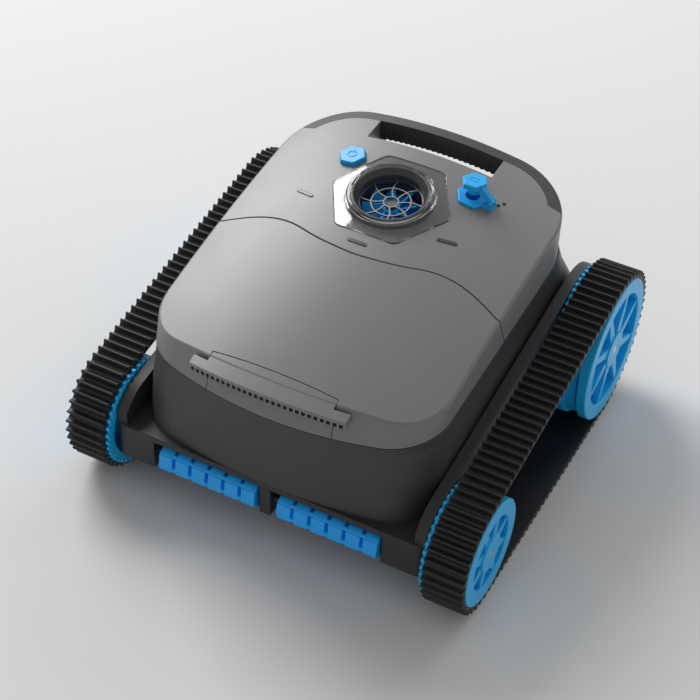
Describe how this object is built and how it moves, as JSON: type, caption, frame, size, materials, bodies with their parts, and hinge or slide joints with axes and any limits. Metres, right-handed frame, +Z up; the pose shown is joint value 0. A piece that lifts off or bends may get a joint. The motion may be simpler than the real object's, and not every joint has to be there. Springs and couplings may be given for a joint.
{
  "type": "robotic pool cleaner",
  "caption": "Cordless tracked robotic pool cleaner: ribbed rubber tracks on spoked wheels, front brush rollers, hinged filter lid, top outlet with pump, carry handle and charge socket.",
  "frame": {"origin": "on the ground under the middle of the bounding box", "axes": "+X to the right seen from the front, -Y to the front with the brushes, +Z up"},
  "size_m": [0.4014, 0.4134, 0.256],
  "materials": {
    "rubber_black": "ribbed black rubber",
    "blue_plastic": "satin bright blue moulded plastic",
    "grey_shell": "satin mid-grey moulded plastic with fine grain",
    "dark_hull": "matte charcoal moulded plastic",
    "handle_dark": "grained dark grey plastic",
    "clear_window": "clear polycarbonate",
    "grille_metal": "satin metal",
    "steel": "turned steel",
    "black_inner": "black moulded plastic",
    "seal_rubber": "soft sealing rubber",
    "motor_can": "drawn aluminium can",
    "gear_white": "white acetal",
    "battery_blue": "shrink-wrapped cells",
    "board_green": "lacquered circuit board",
    "mesh_nylon": "fine nylon mesh",
    "brass_pin": "gold-plated contact",
    "lens_dark": "smoked lens"
  },
  "bodies": {
    "chassis": {"axle_stubs": "steel", "battery_pack": "battery_blue", "belt_left": "rubber_black", "belt_right": "rubber_black", "box_cover": "black_inner", "box_seal": "seal_rubber", "brush_bushes": "gear_white", "button_spring": "steel", "button_switch": "black_inner", "charge_pins": "brass_pin", "charge_socket": "blue_plastic", "chassis_tray": "dark_hull", "control_board": "board_green", "drive_motor_left": "motor_can", "drive_motor_right": "motor_can", "filter_basket": "black_inner", "filter_mesh": "mesh_nylon", "handle_bar": "handle_dark", "hinge_pins": "steel", "housing_screws": "steel", "hull_shell": "dark_hull", "inlet_frames": "black_inner", "lid_seal": "seal_rubber", "mode_lamps": "lens_dark", "outlet_duct": "black_inner", "outlet_grille": "grille_metal", "outlet_window": "clear_window", "pump_box": "black_inner", "pump_motor": "motor_can", "rear_cover": "grey_shell", "shaft_bushes": "gear_white", "skirt_blades": "seal_rubber", "status_lamps": "lens_dark"},
    "front_lid_body": {"front_lid": "grey_shell", "latch_pin": "steel"},
    "latch_body": {"lid_latch": "grey_shell"},
    "brush_roller": {"brush_left": "blue_plastic", "brush_right": "blue_plastic", "brush_shaft": "steel"},
    "impeller_body": {"impeller": "blue_plastic", "pump_shaft": "steel"},
    "button_body": {"power_button": "blue_plastic"},
    "cap_body": {"charge_cap": "blue_plastic"},
    "flap_right_body": {"inlet_flap_right": "black_inner"},
    "flap_left_body": {"inlet_flap_left": "black_inner"},
    "rear_wheel_right": {"wheel_disc_rear_right": "blue_plastic", "sprocket_rear_right": "blue_plastic", "drive_shaft_right": "steel", "drive_gear_right": "gear_white"},
    "front_wheel_right": {"wheel_disc_front_right": "blue_plastic", "sprocket_front_right": "blue_plastic"},
    "pinion_right": {"motor_pinion_right": "gear_white"},
    "rear_wheel_left": {"wheel_disc_rear_left": "blue_plastic", "sprocket_rear_left": "blue_plastic", "drive_shaft_left": "steel", "drive_gear_left": "gear_white"},
    "front_wheel_left": {"wheel_disc_front_left": "blue_plastic", "sprocket_front_left": "blue_plastic"},
    "pinion_left": {"motor_pinion_left": "gear_white"}
  },
  "joints": [
    {"name": "rear_wheel_spin_right", "type": "hinge", "parent": "chassis", "child": "rear_wheel_right", "pos_m": [0.18, 0.12755, 0.0792], "axis": [1, 0, 0], "continuous": true},
    {"name": "front_wheel_spin_right", "type": "hinge", "parent": "chassis", "child": "front_wheel_right", "pos_m": [0.18, -0.14895, 0.0578], "axis": [1, 0, 0], "continuous": true},
    {"name": "motor_pinion_spin_right", "type": "hinge", "parent": "chassis", "child": "pinion_right", "pos_m": [0.12, 0.09155, 0.0792], "axis": [1, 0, 0], "continuous": true},
    {"name": "rear_wheel_spin_left", "type": "hinge", "parent": "chassis", "child": "rear_wheel_left", "pos_m": [-0.18, 0.12755, 0.0792], "axis": [1, 0, 0], "continuous": true},
    {"name": "front_wheel_spin_left", "type": "hinge", "parent": "chassis", "child": "front_wheel_left", "pos_m": [-0.18, -0.14895, 0.0578], "axis": [1, 0, 0], "continuous": true},
    {"name": "motor_pinion_spin_left", "type": "hinge", "parent": "chassis", "child": "pinion_left", "pos_m": [-0.12, 0.09155, 0.0792], "axis": [1, 0, 0], "continuous": true},
    {"name": "brush_spin", "type": "hinge", "parent": "chassis", "child": "brush_roller", "pos_m": [0, -0.1815, 0.0544], "axis": [1, 0, 0], "continuous": true},
    {"name": "impeller_spin", "type": "hinge", "parent": "chassis", "child": "impeller_body", "pos_m": [-0.00287, 0.04353, 0.21804], "axis": [-0.0063, -0.1265, 0.992], "continuous": true},
    {"name": "power_button_press", "type": "slide", "parent": "chassis", "child": "button_body", "axis": [0.1282, 0.1009, -0.9866], "range_m": [0, 0.002], "stiffness_N_per_m": 600, "springref_m": -0.0005, "deforming": ["button_spring"]},
    {"name": "charge_cap_hinge", "type": "hinge", "parent": "chassis", "child": "cap_body", "pos_m": [0.0802, 0.0766, 0.2408], "axis": [0, 1, 0], "range_deg": [0, 110]},
    {"name": "lid_hinge", "type": "hinge", "parent": "chassis", "child": "front_lid_body", "pos_m": [0, -0.012, 0.218], "axis": [-1, 0, 0], "range_deg": [0, 80]},
    {"name": "lid_latch_pull", "type": "hinge", "parent": "front_lid_body", "child": "latch_body", "pos_m": [0, -0.172, 0.185], "axis": [-1, 0, 0], "range_deg": [0, 5], "stiffness_Nm_per_rad": 1, "springref_deg": -2.86},
    {"name": "inlet_flap_right_lift", "type": "hinge", "parent": "chassis", "child": "flap_right_body", "pos_m": [0.06, -0.077, 0.0366], "axis": [1, 0, 0], "range_deg": [0, 60]},
    {"name": "inlet_flap_left_lift", "type": "hinge", "parent": "chassis", "child": "flap_left_body", "pos_m": [-0.06, -0.077, 0.0366], "axis": [1, 0, 0], "range_deg": [0, 60]}
  ],
  "couplings": [
    {"joint": "front_wheel_spin_right", "follows": "rear_wheel_spin_right", "ratio": 1.4254},
    {"joint": "motor_pinion_spin_right", "follows": "rear_wheel_spin_right", "ratio": -3},
    {"joint": "front_wheel_spin_left", "follows": "rear_wheel_spin_left", "ratio": 1.4254},
    {"joint": "motor_pinion_spin_left", "follows": "rear_wheel_spin_left", "ratio": -3}
  ]
}
